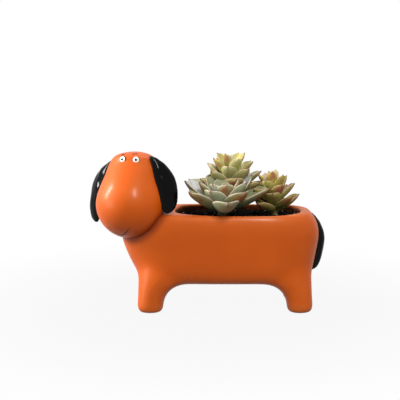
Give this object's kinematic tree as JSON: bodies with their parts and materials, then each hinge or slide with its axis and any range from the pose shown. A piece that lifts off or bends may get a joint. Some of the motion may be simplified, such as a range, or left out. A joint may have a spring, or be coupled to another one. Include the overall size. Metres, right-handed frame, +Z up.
{
  "type": "flower pot",
  "caption": "Table planter cast in the shape of a standing dog, with an open trough along its back planted with succulents in soil over drainage gravel.",
  "frame": {"origin": "on the ground, in the middle of the part's footprint box", "axes": "+X along the body towards the tail, +Y across the body to the dog's right, +Z up"},
  "size_m": [0.2186, 0.098, 0.1465],
  "materials": {
    "resin_orange": "satin paint on cast resin",
    "gloss_black": "high gloss enamel on cast resin",
    "eye_white": "gloss enamel",
    "plug_rubber": "matt",
    "screen_mesh": "woven plastic mesh",
    "gravel": "loose rounded stones",
    "soil": "loose peat and bark mix",
    "leaf_blue": "waxy living leaf, blue-green with pink tips",
    "leaf_yellow": "waxy living leaf, yellow-green with pink edges",
    "leaf_pink": "waxy living leaf, yellow-green and pink"
  },
  "bodies": {
    "pot": {"pot_body": "resin_orange", "head": "resin_orange", "left_ear": "gloss_black", "right_ear": "gloss_black", "tail": "gloss_black", "left_eye": "eye_white", "right_eye": "eye_white", "left_pupil": "gloss_black", "right_pupil": "gloss_black", "drain_screen": "screen_mesh", "drainage_gravel": "gravel"},
    "planting": {"potting_soil": "soil", "front_succulent": "leaf_blue", "back_succulent": "leaf_yellow", "right_succulent": "leaf_pink"},
    "plug": {"drain_plug": "plug_rubber"}
  },
  "joints": [
    {"name": "planting_lift", "type": "slide", "parent": "pot", "child": "planting", "axis": [0, 0, 1], "range_m": [0, 0.06]},
    {"name": "plug_pull", "type": "slide", "parent": "pot", "child": "plug", "axis": [0, 0, -1], "range_m": [0, 0.012]}
  ]
}
